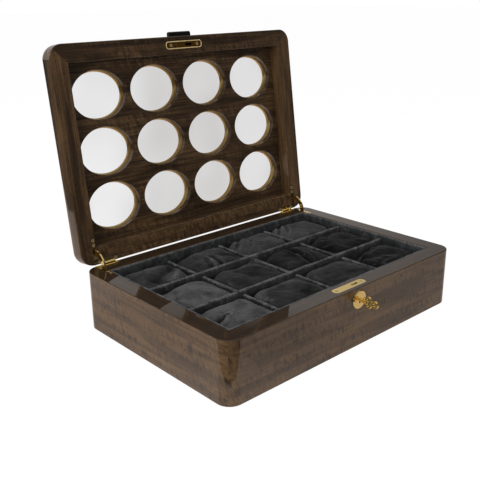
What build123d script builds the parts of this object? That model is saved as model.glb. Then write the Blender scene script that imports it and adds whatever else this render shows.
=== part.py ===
"""Watch display box: a lacquered wooden case with twelve cushioned cells and a glazed lid.

Origin: centre of the felt under the case.  +X runs to the right along the front, +Y to the
hinges at the back, +Z up.  Millimetres.  The lid is built closed and then swung open.
"""
import os
from math import asin, atan2, cos, degrees, radians, sin

from build123d import *

# ---- Case ------------------------------------------------------------------------------
case_width = 370.0
case_depth = 253.0
wall_height = 70.7
case_wall = 20.9
corner_radius = 16.4
rim_round = 0.9
foot_round = 0.7
board_thickness = 8.0
board_rebate = 6.0
felt_thickness = 2.0
felt_proud = 0.8

# ---- Lid -------------------------------------------------------------------------------
lid_height = 29.2
lid_wall = 21.5
lid_edge_radius = 16.0
panel_thickness = 12.7
panel_rebate = 4.5
closing_gap = 0.5
open_angle = 97.6

# ---- Windows ---------------------------------------------------------------------------
columns = 4
rows = 3
window_margin_x = 3.1
window_margin_y = 6.0
window_gap_x = 7.8
window_gap_y = 8.6
window_forward = 1.0
ring_height = 7.0
ring_wall = 1.6
bevel_height = 2.4
bevel_land = 0.15
window_round = 0.8
pane_thickness = 1.7
pane_ledge = 0.8

# ---- Lining, dividers and cushions -------------------------------------------------------
liner_thickness = 2.5
liner_drop = 1.0
floor_pad = 2.0
divider_thickness = 6.0
divider_drop = 3.9
cross_drop = 8.9
divider_round = 2.2
cushion_drop = 7.0
cushion_gap = 0.6
cushion_top_round = 13.0
cushion_corner_round = 9.0
cushion_foot_round = 5.0

# ---- Quadrant hinges -----------------------------------------------------------------------
hinge_set_back = 0.7
leaf_thickness = 1.8
leaf_arm_width = 5.2
leaf_inset = 0.2
back_arm_length = 33.0
side_arm_length = 33.0
knuckle_radius = 2.4
barrel_length = 17.4
barrel_inset = 9.9
pin_radius = 1.2
stay_inner = 14.2
stay_outer = 19.6
stay_thickness = 1.8
stay_knob_radius = 2.2
stay_knob_length = 3.2

# ---- Lock ------------------------------------------------------------------------------------
selvedge_length = 51.5
selvedge_width = 10.3
selvedge_thickness = 2.2
slot_length = 10.6
slot_width = 3.2
slot_offset = 8.8
plate_screw_spacing = 40.6
lock_left = 14.5
lock_right = 17.0
lock_thickness = 10.0
lock_depth = 29.0
lock_sheet = 1.0
key_x = 4.8
key_drop = 13.8
hook_x = -1.5
hook_drop = 6.5
hook_inner = 9.4
hook_outer = 15.2
hook_thickness = 2.6
hook_tip = 20.0
hook_turn = 68.0
key_turn = 90.0
hook_tail = 11.0
pivot_radius = 1.5
hook_hub = 4.0
follower_radius = 7.3
follower_collar = 5.2
drive_pin_radius = 1.0
drive_pin_orbit = 5.5
spring_thickness = 0.5
spring_width = 3.0
spring_flat = 5.0
spring_slope = 5.0
spring_foot = 2.5
escutcheon_radius = 10.6
escutcheon_thickness = 1.6
escutcheon_pin_spacing = 16.0
strike_length = 55.6
strike_width = 9.0
strike_thickness = 1.6
strike_corner = 2.6

# ---- Key ---------------------------------------------------------------------------------------
shank_radius = 1.6
bit_reach = 3.9
bit_thickness = 1.4
bow_start = 9.0
bow_length = 17.0
bow_thickness = 2.4
bow_lobe = 4.3
bow_hole = 1.9

# ---- Lid pull ------------------------------------------------------------------------------------
pull_length = 35.0
pull_proud = 6.0
pull_thickness = 4.6
pull_height = 6.6
pull_round = 1.6
tongue_depth = 10.0
tongue_shrink = 4.0

# ---- Screws and fits -----------------------------------------------------------------------------
screw_head = 4.2
screw_shank = 2.2
screw_length = 11.0
screw_slot = 0.6
brad_head = 1.9
brad_length = 4.5
joinery_gap = 0.1
seat_gap = 0.05
running_gap = 0.05
slide_gap = 0.3

# ---- Levels and places worked out from the sizes above -------------------------------------------
wood_foot = felt_proud
rim = wood_foot + wall_height
board_under = wood_foot + felt_thickness - felt_proud
board_top = board_under + board_thickness
pad_top = board_top + floor_pad
lid_under = rim + closing_gap
lid_top = lid_under + lid_height
panel_under = lid_top - panel_thickness
half_width = case_width / 2
half_depth = case_depth / 2
inner_half_width = half_width - case_wall
inner_half_depth = half_depth - case_wall
axis_y = half_depth + hinge_set_back
axis_z = rim + closing_gap / 2
lid_axis = Axis((0, axis_y, axis_z), (1, 0, 0))
lock_y = -half_depth + case_wall / 2
lid_inner_x = half_width - lid_wall
lid_inner_y = half_depth - lid_wall
window_pitch_x = 2 * (lid_inner_x - window_margin_x) / columns
window_pitch_y = 2 * (lid_inner_y - window_margin_y) / rows
window_length = window_pitch_x - window_gap_x
window_breadth = window_pitch_y - window_gap_y
lock_top = rim - selvedge_thickness
key_z = rim - key_drop
hook_z = rim - hook_drop
room_half_width = inner_half_width - liner_thickness
room_half_depth = inner_half_depth - liner_thickness
column_pitch = (2 * room_half_width + divider_thickness) / columns
row_pitch = (2 * room_half_depth + divider_thickness) / rows
cell_width = column_pitch - divider_thickness
cell_depth = row_pitch - divider_thickness


# ---- Small helpers -------------------------------------------------------------------------------
def block(x0, x1, y0, y1, z0, z1):
    """A box between two corners."""
    return Pos((x0 + x1) / 2, (y0 + y1) / 2, (z0 + z1) / 2) * Box(x1 - x0, y1 - y0, z1 - z0)


def frame_block(half_x, half_y, z0, z1):
    """A box centred on the case."""
    return block(-half_x, half_x, -half_y, half_y, z0, z1)


def rod_x(radius, x0, x1, y, z):
    """A round bar along X."""
    return Pos(x0, y, z) * extrude(Plane.YZ * Circle(radius), x1 - x0)


def rod_y(radius, y0, y1, x, z):
    """A round bar along Y."""
    return Pos(x, y1, z) * extrude(Plane.XZ * Circle(radius), y1 - y0)


def plate_xz(sketch, y0, y1, x, z):
    """A flat plate that stands in the XZ plane between y0 and y1."""
    return Pos(x, y1, z) * extrude(Plane.XZ * sketch, y1 - y0)


def pie(start, end, reach):
    """A wedge of a plane, from one angle to another in degrees, for trimming circles."""
    steps = 8
    turn = (end - start) / steps
    tips = [radians(start + turn * step) for step in range(steps + 1)]
    return Polygon((0, 0), *[(reach * cos(a), reach * sin(a)) for a in tips], align=None)


def arc_band(inner, outer, start, end):
    """Part of a flat ring."""
    return (Circle(outer) - Circle(inner)) & pie(start, end, 2 * outer)


def mirrored(shape):
    """The left-hand copy of a right-hand piece."""
    return mirror(shape, about=Plane.YZ)


def swing(shape, angle):
    """Turn a piece about the hinge pins, positive towards open."""
    return shape.rotate(lid_axis, -angle)


def opened(shape):
    """Carry a piece of the closed lid to its open place."""
    return swing(shape, open_angle)


def mitre_prism(side, wall, z0, z1):
    """The space of one rail of a frame, cut at 45 degrees through its corners."""
    reach = 1.5 * wall
    x, y = half_width + reach, half_depth + reach
    cut = 2 * reach + reach
    shapes = {
        "front": ((-x, -y), (x, -y), (x - cut, -y + cut), (-x + cut, -y + cut)),
        "back": ((x, y), (-x, y), (-x + cut, y - cut), (x - cut, y - cut)),
        "left": ((-x, y), (-x, -y), (-x + cut, -y + cut), (-x + cut, y - cut)),
        "right": ((x, -y), (x, y), (x - cut, y - cut), (x - cut, -y + cut)),
    }
    return Pos(0, 0, z0) * extrude(Polygon(*shapes[side], align=None), z1 - z0)


def wood_screw(head, shank, length, clearance=0.0):
    """A countersunk screw, head up at z = 0."""
    cone_height = (head - shank) / 2
    cone = Pos(0, 0, -cone_height / 2) * Cone(
        shank / 2 + clearance, head / 2 + clearance, cone_height
    )
    stem_length = length + clearance
    stem = Pos(0, 0, -stem_length / 2) * Cylinder(shank / 2 + clearance, stem_length)
    return cone + stem


def slotted_screw(head, shank, length):
    """The screw with its driver slot."""
    slot_depth = head * 0.13
    slot = block(-head, head, -screw_slot / 2, screw_slot / 2, -slot_depth, 1.0)
    return wood_screw(head, shank, length) - slot


def keyhole(radius, slot, reach):
    """A round hole with a slot below it, as a sketch."""
    return Circle(radius) + Pos(0, -reach / 2) * Rectangle(slot, reach)


def save(name, shapes, colour):
    """Write one node."""
    if isinstance(shapes, (list, tuple)):
        solids = [solid for shape in shapes for solid in shape.solids()]
    else:
        solids = list(shapes.solids())
    node = solids[0] if len(solids) == 1 else Compound(children=solids)
    node.label = name
    node.color = Color(*colour)
    export_step(node, f"parts/{name}.step")
    print(f"{name:24s} {len(solids):3d} solids {sum(s.volume for s in solids):12.1f} mm3")


WALNUT = (0.23, 0.15, 0.09)
PLY = (0.62, 0.50, 0.34)
SUEDE = (0.10, 0.10, 0.11)
BRASS = (0.80, 0.60, 0.25)
STEEL = (0.60, 0.60, 0.62)
GLASS = (0.85, 0.92, 0.95)
HORN = (0.02, 0.02, 0.02)


# ---- Windows' places -----------------------------------------------------------------------------
def window_places():
    """Centres of the windows in the closed lid."""
    for row in range(rows):
        for column in range(columns):
            x = (column - (columns - 1) / 2) * window_pitch_x
            y = (row - (rows - 1) / 2) * window_pitch_y - window_forward
            yield x, y


# ---- Quadrant hinge, built for the right-hand corner ---------------------------------------------
leaf_x0 = inner_half_width + leaf_inset
leaf_x1 = leaf_x0 + leaf_arm_width
stay_x = (leaf_x0 + leaf_x1) / 2
barrel_x1 = leaf_x1 - barrel_inset
barrel_x0 = barrel_x1 - barrel_length
knuckle_length = barrel_length / 3
stay_middle = (stay_inner + stay_outer) / 2
knob_drop = closing_gap / 2 + leaf_thickness + stay_knob_radius + slide_gap
knob_dip = degrees(asin(knob_drop / stay_middle))
stay_half_span = open_angle / 2 + knob_dip
leaf_screw_places = [
    (barrel_x0 - screw_head / 2 - slide_gap, half_depth - leaf_arm_width / 2),
    (barrel_x1 + screw_head / 2 + slide_gap, half_depth - leaf_arm_width / 2),
    (stay_x, half_depth - side_arm_length + 3.2),
    (stay_x, half_depth - side_arm_length + 9.2),
]


def leaf_plan(clearance=0.0):
    """The L-shaped outline of a leaf, seen from above."""
    round_end = leaf_arm_width / 2 - 0.4
    width = leaf_arm_width + 2 * clearance
    back_arm = Pos(leaf_x1 - back_arm_length / 2, half_depth - leaf_arm_width / 2) * RectangleRounded(
        back_arm_length + 2 * clearance, width, round_end
    )
    side_arm = Pos(stay_x, half_depth - side_arm_length / 2) * RectangleRounded(
        width, side_arm_length + 2 * clearance, round_end
    )
    corner = Pos(stay_x, half_depth - leaf_arm_width / 2) * Rectangle(width, width)
    return (back_arm + side_arm + corner) & RectangleRounded(case_width, case_depth, corner_radius)


# The hollow in the rails and leaves that the barrel lies in
barrel_recess = rod_x(knuckle_radius + slide_gap, barrel_x0 - slide_gap, barrel_x1 + slide_gap,
                      axis_y, axis_z)


def leaf(z0, knuckles, bore, screws_down):
    """One leaf: its plate, its knuckles on the barrel, its stay slot and its screw holes."""
    body = Pos(0, 0, z0) * extrude(leaf_plan(), leaf_thickness) - barrel_recess
    for index in knuckles:
        x0 = barrel_x0 + index * knuckle_length + slide_gap / 4
        x1 = barrel_x0 + (index + 1) * knuckle_length - slide_gap / 4
        web = block(x0, x1, half_depth - leaf_arm_width / 2, axis_y, z0, z0 + leaf_thickness)
        body = body + web + rod_x(knuckle_radius, x0, x1, axis_y, axis_z)
    for index in knuckles:
        x0 = barrel_x0 + index * knuckle_length - 1.0
        body = body - rod_x(pin_radius + bore, x0, x0 + knuckle_length + 2.0, axis_y, axis_z)
    slot_y0 = axis_y - stay_outer - slide_gap
    slot_y1 = axis_y - stay_inner + slide_gap
    slot_half = stay_thickness / 2 + slide_gap
    body = body - block(stay_x - slot_half, stay_x + slot_half, slot_y0, slot_y1,
                        z0 - 1.0, z0 + leaf_thickness + 1.0)
    for x, y in leaf_screw_places:
        body = body - leaf_screw(x, y, screws_down, seat_gap)
    return body


def leaf_screw(x, y, down, clearance=None):
    """A hinge screw, or with a clearance the hole for it."""
    if clearance is None:
        screw = slotted_screw(screw_head, screw_shank, screw_length)
    else:
        screw = wood_screw(screw_head, screw_shank, screw_length, clearance)
    if down:
        return Pos(x, y, rim) * screw
    return Pos(x, y, lid_under) * screw.rotate(Axis.X, 180)


def leaf_seat(z0):
    """The recess for a leaf, open at the back face."""
    deep = 2 * seat_gap
    seat = Pos(0, 0, z0) * extrude(leaf_plan(seat_gap), leaf_thickness + deep)
    back = block(leaf_x1 - back_arm_length + leaf_arm_width, leaf_x1 - leaf_arm_width,
                 half_depth - leaf_arm_width, half_depth + 1.0, z0, z0 + leaf_thickness + deep)
    return seat + back


def stay():
    """The curved stay at the closed lid's place: half of it in each pocket."""
    band = arc_band(stay_inner, stay_outer, 180 - stay_half_span, 180 + stay_half_span)
    arm = Pos(stay_x - stay_thickness / 2, axis_y, axis_z) * extrude(
        Plane.YZ * band, stay_thickness
    )
    for end in (-1, 1):
        angle = radians(180 + end * stay_half_span)
        y = axis_y + stay_middle * cos(angle)
        z = axis_z + stay_middle * sin(angle)
        arm = arm + rod_x(stay_knob_radius, stay_x - stay_knob_length / 2,
                          stay_x + stay_knob_length / 2, y, z)
    return arm


def stay_pocket(start, end):
    """The hollow in the wood that the stay and its knob travel in."""
    half = stay_knob_length / 2 + slide_gap
    band = arc_band(stay_inner - slide_gap, stay_outer + slide_gap, start, end)
    pocket = extrude(Plane.YZ * band, 2 * half)
    return Pos(stay_x - half, axis_y, axis_z) * pocket


knob_room = degrees(asin((stay_knob_radius + 2 * slide_gap) / stay_middle))
pocket_end = stay_half_span + knob_room


# ---- Case ring with its cuts ---------------------------------------------------------------------
case_ring = Pos(0, 0, wood_foot) * extrude(
    RectangleRounded(case_width, case_depth, corner_radius), wall_height
)
case_ring = fillet(case_ring.faces().sort_by(Axis.Z)[-1].edges(), rim_round)
case_ring = fillet(case_ring.faces().sort_by(Axis.Z)[0].edges(), foot_round)
case_ring = case_ring - frame_block(inner_half_width, inner_half_depth, -1.0, rim + 1.0)
case_ring = fillet(case_ring.faces().sort_by(Axis.Z)[-1].inner_wires().edges(), rim_round)
case_ring = case_ring - frame_block(
    inner_half_width + board_rebate, inner_half_depth + board_rebate, -1.0, board_top
)

right_cuts = leaf_seat(rim - leaf_thickness - 2 * seat_gap) + stay_pocket(180, 180 + pocket_end)
right_cuts = right_cuts + barrel_recess
for x, y in leaf_screw_places:
    right_cuts = right_cuts + leaf_screw(x, y, True, seat_gap)
case_ring = case_ring - right_cuts - mirrored(right_cuts)

# Lock mortise, seat of the selvedge, and the way in for the key
lock_mortise = block(-lock_left - joinery_gap, lock_right + joinery_gap,
                     lock_y - lock_thickness / 2 - joinery_gap,
                     lock_y + lock_thickness / 2 + joinery_gap,
                     lock_top - lock_depth - joinery_gap, rim)
selvedge_seat = Pos(0, lock_y, lock_top) * extrude(
    SlotOverall(selvedge_length + 2 * joinery_gap, selvedge_width + 2 * joinery_gap),
    selvedge_thickness + 1.0
)
key_slot_width = bit_thickness + 4 * slide_gap
key_way = keyhole(shank_radius + 2 * slide_gap, key_slot_width, bit_reach + 2 * slide_gap)
key_passage = plate_xz(key_way, -half_depth - 1.0, lock_y, key_x, key_z)
case_ring = case_ring - lock_mortise - selvedge_seat - key_passage

plate_screw_xs = (-plate_screw_spacing / 2, plate_screw_spacing / 2)
for x in plate_screw_xs:
    case_ring = case_ring - Pos(x, lock_y, rim) * wood_screw(
        screw_head, screw_shank, screw_length, seat_gap
    )
escutcheon_front = -half_depth - escutcheon_thickness
brad_xs = (key_x - escutcheon_pin_spacing / 2, key_x + escutcheon_pin_spacing / 2)


def brad(x, clearance=0.0):
    """A domed escutcheon pin, driven in along +Y."""
    stem = rod_y(brad_head / 4 + clearance, -half_depth - 1.2, -half_depth + brad_length + clearance,
                 x, key_z)
    head = Pos(x, escutcheon_front, key_z) * Sphere(brad_head / 2)
    if clearance:
        return stem
    return stem + (head & block(x - brad_head, x + brad_head, escutcheon_front - brad_head,
                                escutcheon_front, key_z - brad_head, key_z + brad_head)) + rod_y(
        brad_head / 4, escutcheon_front, -half_depth, x, key_z)


for x in brad_xs:
    case_ring = case_ring - brad(x, seat_gap)

# ---- Lid ring with its cuts ----------------------------------------------------------------------
lid_ring = Pos(0, 0, lid_under) * extrude(
    RectangleRounded(case_width, case_depth, corner_radius), lid_height
)
lid_ring = fillet(lid_ring.faces().sort_by(Axis.Z)[-1].edges(), lid_edge_radius)
lid_ring = fillet(lid_ring.faces().sort_by(Axis.Z)[0].edges(), rim_round)
lid_ring = lid_ring - frame_block(lid_inner_x, lid_inner_y, lid_under - 1.0, lid_top + 1.0)
lid_ring = fillet(lid_ring.faces().sort_by(Axis.Z)[0].inner_wires().edges(), rim_round)
lid_ring = lid_ring - frame_block(
    lid_inner_x + panel_rebate, lid_inner_y + panel_rebate, panel_under, lid_top + 1.0
)
right_cuts = leaf_seat(lid_under) + stay_pocket(180 - pocket_end, 180) + barrel_recess
for x, y in leaf_screw_places:
    right_cuts = right_cuts + leaf_screw(x, y, False, seat_gap)
lid_ring = lid_ring - right_cuts - mirrored(right_cuts)

strike_seat = Pos(0, lock_y, lid_under - 1.0) * extrude(
    RectangleRounded(strike_length + 2 * joinery_gap, strike_width + 2 * joinery_gap, strike_corner),
    strike_thickness + 1.0 + joinery_gap
)
hook_mortise = block(hook_x - hook_inner * 0.3, hook_x + hook_outer + 2 * slide_gap,
                     lock_y - hook_thickness / 2 - slide_gap, lock_y + hook_thickness / 2 + slide_gap,
                     lid_under, hook_z + hook_outer + 2 * slide_gap)
lid_ring = lid_ring - strike_seat - hook_mortise
for x in plate_screw_xs:
    lid_ring = lid_ring - Pos(x, lock_y, lid_under) * wood_screw(
        screw_head, screw_shank, screw_length, seat_gap
    ).rotate(Axis.X, 180)

pull_z = lid_under + pull_height + pull_thickness / 2
tongue_length = pull_length - tongue_shrink
tongue_thickness = pull_thickness - 1.6
lid_ring = lid_ring - block(-tongue_length / 2 - joinery_gap, tongue_length / 2 + joinery_gap,
                            -half_depth - 1.0, -half_depth + tongue_depth + joinery_gap,
                            pull_z - tongue_thickness / 2 - joinery_gap,
                            pull_z + tongue_thickness / 2 + joinery_gap)

# ---- Rails, boards and felt ----------------------------------------------------------------------
os.makedirs("parts", exist_ok=True)
for side in ("front", "back", "left", "right"):
    save(f"case_{side}", case_ring & mitre_prism(side, case_wall, -1.0, rim + 1.0), WALNUT)
    lid_rail = lid_ring & mitre_prism(side, lid_wall, lid_under - 1.0, lid_top + 1.0)
    save(f"lid_{side}", opened(lid_rail), WALNUT)

board_half_x = inner_half_width + board_rebate - joinery_gap
board_half_y = inner_half_depth + board_rebate - joinery_gap
save("case_bottom", frame_block(board_half_x, board_half_y, board_under, board_top), PLY)
save("base_felt", frame_block(board_half_x, board_half_y, 0.0, board_under), SUEDE)

# ---- Glazed panel --------------------------------------------------------------------------------
panel = frame_block(lid_inner_x + panel_rebate - joinery_gap, lid_inner_y + panel_rebate - joinery_gap,
                    panel_under, lid_top)
window_hole = extrude(Ellipse(window_length / 2, window_breadth / 2), panel_thickness + 2.0)
ring_outline = Ellipse(window_length / 2 - seat_gap, window_breadth / 2 - seat_gap)
aperture_x = window_length / 2 - ring_wall
aperture_y = window_breadth / 2 - ring_wall
pane_x = aperture_x + pane_ledge
pane_y = aperture_y + pane_ledge
ring = extrude(ring_outline, ring_height) - extrude(Ellipse(aperture_x, aperture_y), ring_height)
bevel_width = ring_wall - seat_gap - bevel_land
ring = ring - loft([
    Ellipse(aperture_x + bevel_width, aperture_y + bevel_width),
    Pos(0, 0, bevel_height) * Ellipse(aperture_x, aperture_y),
])
ring = ring - Pos(0, 0, ring_height - pane_thickness - seat_gap) * extrude(
    Ellipse(pane_x, pane_y), pane_thickness + 1.0
)
pane = extrude(Ellipse(pane_x - seat_gap, pane_y - seat_gap), pane_thickness)
rings = []
panes = []
for x, y in window_places():
    panel = panel - Pos(x, y, panel_under - 1.0) * window_hole
    rings.append(opened(Pos(x, y, lid_top - ring_height) * ring))
    panes.append(opened(Pos(x, y, lid_top - pane_thickness) * pane))
panel = fillet(panel.faces().sort_by(Axis.Z)[0].inner_wires().edges(), window_round)
save("lid_panel", opened(panel), WALNUT)
save("window_rings", rings, BRASS)
save("window_panes", panes, GLASS)

# ---- Lining and dividers -------------------------------------------------------------------------
save("liner_floor", frame_block(inner_half_width, inner_half_depth, board_top, pad_top), SUEDE)
liner_top = rim - liner_drop
for name, sign in (("liner_left", -1), ("liner_right", 1)):
    ends = sorted((sign * inner_half_width, sign * room_half_width))
    save(name, block(*ends, -inner_half_depth, inner_half_depth, pad_top, liner_top), SUEDE)
for name, sign in (("liner_front", -1), ("liner_back", 1)):
    ends = sorted((sign * inner_half_depth, sign * room_half_depth))
    save(name, block(-room_half_width, room_half_width, *ends, pad_top, liner_top), SUEDE)

divider_top = rim - divider_drop
cross_top = rim - cross_drop
divider_middle = (pad_top + cross_top) / 2
notch_half = divider_thickness / 2 + joinery_gap


def divider(half_x, half_y, top):
    """A padded divider with rounded top edges."""
    solid = frame_block(half_x, half_y, pad_top, top)
    top_edges = solid.faces().sort_by(Axis.Z)[-1].edges()
    along = Axis.X if half_x > half_y else Axis.Y
    return fillet(top_edges.filter_by(along), divider_round)


divider_xs = [(index - (columns - 2) / 2) * column_pitch for index in range(columns - 1)]
divider_ys = [(index - (rows - 2) / 2) * row_pitch for index in range(rows - 1)]
for number, y in enumerate(divider_ys, start=1):
    long_divider = divider(room_half_width - joinery_gap, divider_thickness / 2, divider_top)
    for x in divider_xs:
        long_divider = long_divider - block(x - notch_half, x + notch_half, -notch_half, notch_half,
                                            pad_top - 1.0, divider_middle)
    save(f"divider_long_{number}", Pos(0, y, 0) * long_divider, SUEDE)
for number, x in enumerate(divider_xs, start=1):
    cross_divider = divider(divider_thickness / 2, room_half_depth - joinery_gap, cross_top)
    for y in divider_ys:
        cross_divider = cross_divider - block(-notch_half, notch_half, y - notch_half, y + notch_half,
                                              divider_middle - joinery_gap, cross_top + 1.0)
    save(f"divider_cross_{number}", Pos(x, 0, 0) * cross_divider, SUEDE)

# ---- Cushions ------------------------------------------------------------------------------------
cushion_width = cell_width - 2 * cushion_gap
cushion_depth = cell_depth - 2 * cushion_gap
cushion_top = rim - cushion_drop
cushion_foot = pad_top + slide_gap
cushion = Pos(0, 0, cushion_foot) * extrude(
    RectangleRounded(cushion_width, cushion_depth, cushion_corner_round), cushion_top - cushion_foot
)
cushion = fillet(cushion.faces().sort_by(Axis.Z)[0].edges(), cushion_foot_round)
cushion = chamfer(cushion.faces().sort_by(Axis.Z)[-1].edges(), cushion_top_round * 0.35,
                  cushion_top_round * 0.6)
for row in range(rows):
    for column in range(columns):
        x = (column - (columns - 1) / 2) * column_pitch
        y = (row - (rows - 1) / 2) * row_pitch
        save(f"cushion_r{row + 1}_c{column + 1}", Pos(x, y, 0) * cushion, SUEDE)

# ---- Hinges --------------------------------------------------------------------------------------
base_leaf = leaf(rim - leaf_thickness, (0, 2), seat_gap / 2, True)
lid_leaf = leaf(lid_under, (1,), running_gap, False)
hinge_pin = rod_x(pin_radius, barrel_x0, barrel_x1, axis_y, axis_z)
stay_open = swing(stay(), open_angle / 2)
for name, hand in (("right", lambda shape: shape), ("left", mirrored)):
    save(f"hinge_base_leaf_{name}", hand(base_leaf), BRASS)
    save(f"hinge_lid_leaf_{name}", hand(opened(lid_leaf)), BRASS)
    save(f"hinge_pin_{name}", hand(hinge_pin), BRASS)
    save(f"stay_{name}", hand(stay_open), BRASS)
base_screws = [leaf_screw(x, y, True) for x, y in leaf_screw_places]
lid_screws = [opened(leaf_screw(x, y, False)) for x, y in leaf_screw_places]
save("base_hinge_screws", base_screws + [mirrored(screw) for screw in base_screws], BRASS)
save("lid_hinge_screws", lid_screws + [mirrored(screw) for screw in lid_screws], BRASS)

# ---- Lock ----------------------------------------------------------------------------------------
selvedge = Pos(0, lock_y, lock_top) * extrude(
    SlotOverall(selvedge_length, selvedge_width), selvedge_thickness
)
selvedge = selvedge - Pos(slot_offset, lock_y, lock_top - 1.0) * extrude(
    SlotOverall(slot_length, slot_width), selvedge_thickness + 2.0
)
plate_screws = [Pos(x, lock_y, rim) * slotted_screw(screw_head, screw_shank, screw_length)
                for x in plate_screw_xs]
for x in plate_screw_xs:
    selvedge = selvedge - Pos(x, lock_y, rim) * wood_screw(
        screw_head, screw_shank, screw_length, seat_gap
    )
save("lock_selvedge", selvedge, BRASS)
save("lock_screws", plate_screws, BRASS)

lock_front = lock_y - lock_thickness / 2
lock_back = lock_y + lock_thickness / 2
lock_floor = lock_top - lock_depth
lock_case = block(-lock_left, lock_right, lock_front, lock_back - lock_sheet, lock_floor, lock_top)
lock_case = lock_case - block(-lock_left + lock_sheet, lock_right - lock_sheet, lock_front + lock_sheet,
                              lock_back, lock_floor + lock_sheet, lock_top + 1.0)
lock_case = lock_case - rod_y(follower_collar + running_gap, lock_front - 1.0,
                              lock_front + lock_sheet + 1.0, key_x, key_z)
lock_case = lock_case - rod_y(pivot_radius + seat_gap / 2, lock_front - 1.0,
                              lock_front + lock_sheet + 1.0, hook_x, hook_z)
save("lock_case", lock_case, BRASS)
lock_cover = block(-lock_left, lock_right, lock_back - lock_sheet, lock_back, lock_floor, lock_top)
lock_cover = lock_cover - rod_y(pivot_radius + seat_gap / 2, lock_back - 2.0, lock_back + 1.0,
                                hook_x, hook_z)
save("lock_cover", lock_cover, BRASS)
save("hook_pivot", rod_y(pivot_radius, lock_front, lock_back, hook_x, hook_z), STEEL)

# The hook is an arc about its pivot, so it rises through the slots along its own line.
hook_plate = arc_band(hook_inner, hook_outer, -90, hook_tip) + Circle(hook_hub)
hook_plate = hook_plate + (Circle(hook_tail) & pie(-125, -50, 3 * hook_tail))
hook_plate = hook_plate - Circle(pivot_radius + running_gap)
key_dx = key_x - hook_x
key_dz = key_z - hook_z
pin_start = degrees(atan2(-key_dz, -key_dx)) + key_turn / 2
slot_steps = 30
for step in range(slot_steps + 1):
    share = step / slot_steps
    pin_angle = radians(pin_start - key_turn * share)
    pin_x = key_dx + drive_pin_orbit * cos(pin_angle)
    pin_y = key_dz + drive_pin_orbit * sin(pin_angle)
    back_turn = radians(-hook_turn * share)
    hook_plate = hook_plate - Pos(pin_x * cos(back_turn) - pin_y * sin(back_turn),
                                  pin_x * sin(back_turn) + pin_y * cos(back_turn)) * Circle(
        drive_pin_radius + slide_gap / 2)
hook_front = lock_y - hook_thickness / 2
hook_back = lock_y + hook_thickness / 2
save("hook_bolt", plate_xz(hook_plate, hook_front, hook_back, hook_x, hook_z), STEEL)

follower_front = lock_front + lock_sheet + running_gap
follower_back = hook_front - slide_gap / 2
aperture = keyhole(shank_radius + running_gap, bit_thickness + slide_gap, bit_reach + slide_gap / 2)
follower = plate_xz(Circle(follower_radius) - aperture, follower_front, follower_back, key_x, key_z)
follower = follower + plate_xz(Circle(follower_collar) - aperture, lock_front, follower_front,
                               key_x, key_z)
drive_x = key_x + drive_pin_orbit * cos(radians(pin_start))
drive_z = key_z + drive_pin_orbit * sin(radians(pin_start))
follower = follower + rod_y(drive_pin_radius, follower_back - 0.5, hook_back - slide_gap / 2,
                            drive_x, drive_z)
save("key_follower", follower, STEEL)

# A leaf spring, riveted flat against the cover, that presses on the back of the hook
spring_x0 = -lock_left + lock_sheet + slide_gap
spring_y = lock_back - lock_sheet
spring_reach = spring_y - hook_back - slide_gap / 2
spring_bend = spring_x0 + spring_flat
spring_tip = spring_bend + spring_slope
spring_outline = Polygon(
    (spring_x0, spring_y), (spring_x0, spring_y - spring_thickness),
    (spring_bend, spring_y - spring_thickness), (spring_tip, spring_y - spring_reach),
    (spring_tip + spring_foot, spring_y - spring_reach),
    (spring_tip + spring_foot, spring_y - spring_reach + spring_thickness),
    (spring_tip, spring_y - spring_reach + spring_thickness), (spring_bend, spring_y), align=None)
spring_z = hook_z - drive_pin_orbit - spring_width
save("lock_spring", Pos(0, 0, spring_z) * extrude(spring_outline, spring_width), STEEL)

# ---- Escutcheon and key --------------------------------------------------------------------------
escutcheon_way = keyhole(shank_radius + slide_gap, bit_thickness + 2 * slide_gap,
                         bit_reach + slide_gap)
escutcheon = plate_xz(Circle(escutcheon_radius) - escutcheon_way, escutcheon_front, -half_depth,
                      key_x, key_z)
outer_edges = escutcheon.edges().group_by(Axis.Y)[0].sort_by(SortBy.LENGTH)[-1]
escutcheon = fillet(outer_edges, escutcheon_thickness * 0.55)
for x in brad_xs:
    escutcheon = escutcheon - rod_y(brad_head / 4 + seat_gap, escutcheon_front - 1.0,
                                    -half_depth + 1.0, x, key_z)
save("escutcheon", escutcheon, BRASS)
save("escutcheon_pins", [brad(x) for x in brad_xs], BRASS)

key_tip = follower_back - slide_gap / 3
bow_y0 = -half_depth - bow_start
bow_y1 = bow_y0 - bow_length
key = rod_y(shank_radius, bow_y0 - 1.0, key_tip, key_x, key_z)
bit_front = follower_front + slide_gap / 3
key = key + block(key_x - bit_thickness / 2, key_x + bit_thickness / 2, bit_front, key_tip,
                  key_z - bit_reach, key_z)
for offset in (0.0, 2.6):
    key = key + rod_y(shank_radius * 1.6, bow_y0 - 0.2 + offset, bow_y0 + 1.0 + offset, key_x, key_z)
lobe_places = ((bow_lobe * 0.95, 0.62 * bow_lobe), (bow_lobe * 0.95, -0.62 * bow_lobe),
               (bow_length - bow_lobe, 0.0))
bow = Pos(bow_length * 0.42, 0) * Ellipse(bow_length * 0.42, bow_lobe * 0.7)
for along, across in lobe_places:
    bow = bow + Pos(along, across) * Circle(bow_lobe)
for along, across in lobe_places:
    bow = bow - Pos(along, across) * Circle(bow_hole)
bow = extrude(bow, bow_thickness / 2, both=True)
bow = chamfer(bow.faces().sort_by(Axis.Z)[-1].outer_wire().edges(), 0.3)
bow = chamfer(bow.faces().sort_by(Axis.Z)[0].outer_wire().edges(), 0.3)
# The bow's own length runs along -Y and its breadth along Z.
bow = bow.rotate(Axis.X, 90).rotate(Axis.Z, -90)
key = key + Pos(key_x, bow_y0, key_z) * bow
save("key", key, BRASS)

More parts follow.
